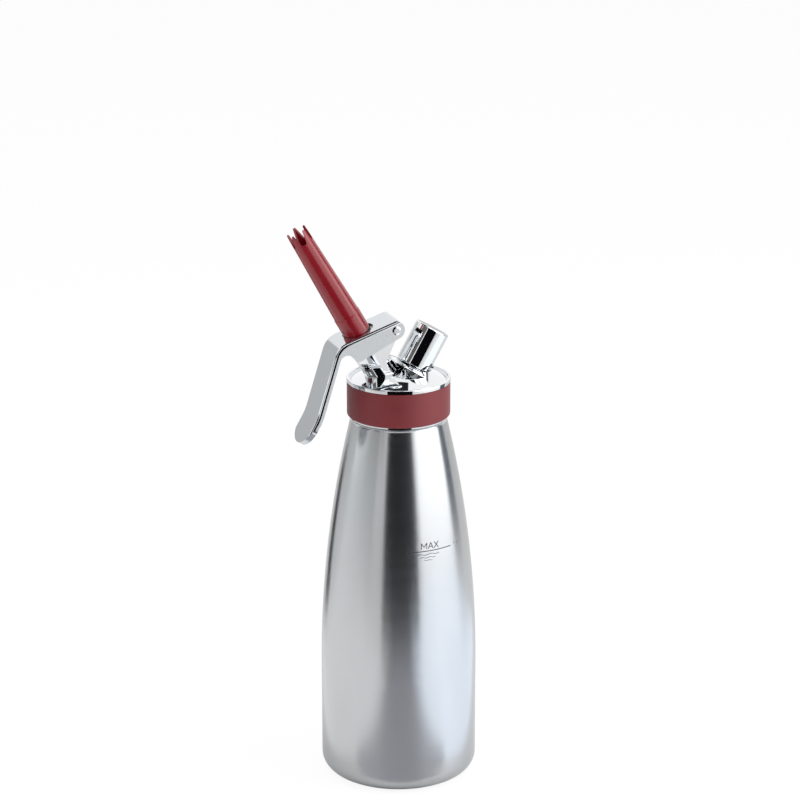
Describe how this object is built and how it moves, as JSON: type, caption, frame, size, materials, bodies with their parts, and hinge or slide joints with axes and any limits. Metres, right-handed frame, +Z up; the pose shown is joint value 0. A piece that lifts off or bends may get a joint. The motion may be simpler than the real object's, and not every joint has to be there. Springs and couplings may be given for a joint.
{
  "type": "whipped cream dispenser",
  "caption": "Pressure bottle with a screwed head, hand lever, sprung pour valve with a toothed red decorating tip, and a capped gas inlet.",
  "frame": {"origin": "centre of the bottle's foot, on the plane that it stands on", "axes": "+Z up the bottle's axis; +X towards the capped gas inlet, so that the decorating tip and the lever's handle lie on -X; Y across the lever, along its pin"},
  "size_m": [0.1175, 0.096, 0.3541],
  "materials": {
    "brushed_steel": "satin brushed stainless steel",
    "polished_head": "mirror polished",
    "polished_steel": "polished pressed stainless steel",
    "turned_steel": "fine turned",
    "turned_brass": "turned",
    "grip_silicone": "satin dark red silicone",
    "seal_rubber": "black rubber",
    "red_plastic": "glossy dark red moulded plastic",
    "bearing_plastic": "natural white acetal"
  },
  "bodies": {
    "bottle": {"bottle": "brushed_steel"},
    "gasket": {"head_gasket": "seal_rubber"},
    "head": {"head_body": "polished_head", "grip_ring": "grip_silicone", "lever_pin": "polished_steel", "guide_bush": "bearing_plastic", "spring_seat": "bearing_plastic", "valve_spring": "turned_steel", "inlet_nipple": "polished_head", "needle_holder": "turned_brass", "piercing_needle": "turned_steel", "inlet_seal": "seal_rubber"},
    "lever": {"lever": "polished_steel"},
    "valve": {"valve_stem": "turned_steel", "thrust_washer": "turned_steel", "tip_bumper": "seal_rubber", "valve_seal": "seal_rubber", "seal_cup": "turned_steel", "seal_nut": "turned_steel", "stem_o_ring": "seal_rubber"},
    "tip": {"tip_collar": "red_plastic", "decorator_tip": "red_plastic"},
    "cap": {"inlet_cap": "polished_head"}
  },
  "joints": [
    {"name": "head_turn", "type": "hinge", "parent": "gasket", "child": "head", "pos_m": [0, 0, 0.242], "axis": [0, 0, 1], "range_deg": [0, 630]},
    {"name": "head_lift", "type": "slide", "parent": "bottle", "child": "gasket", "axis": [0, 0, 1], "range_m": [0, 0.00526]},
    {"name": "lever_pivot", "type": "hinge", "parent": "head", "child": "lever", "pos_m": [-0.0058, 0, 0.2875], "axis": [0, -1, 0], "range_deg": [0, 14], "stiffness_Nm_per_rad": 3, "springref_deg": -20.05},
    {"name": "valve_slide", "type": "slide", "parent": "head", "child": "valve", "axis": [0.5, 0, -0.866], "range_m": [0, 0.0032], "deforming": ["valve_spring"]},
    {"name": "tip_turn", "type": "hinge", "parent": "valve", "child": "tip", "pos_m": [-0.02975, 0, 0.29099], "axis": [-0.5, 0, 0.866], "range_deg": [0, 1080]},
    {"name": "cap_turn", "type": "hinge", "parent": "head", "child": "cap", "pos_m": [0.01585, 0, 0.2725], "axis": [0.5, 0, 0.866], "range_deg": [0, 1080]}
  ],
  "couplings": [
    {"joint": "head_lift", "follows": "head_turn", "m_per_rad": 0.00047746},
    {"joint": "valve_slide", "follows": "lever_pivot", "m_per_rad": 0.0128}
  ]
}
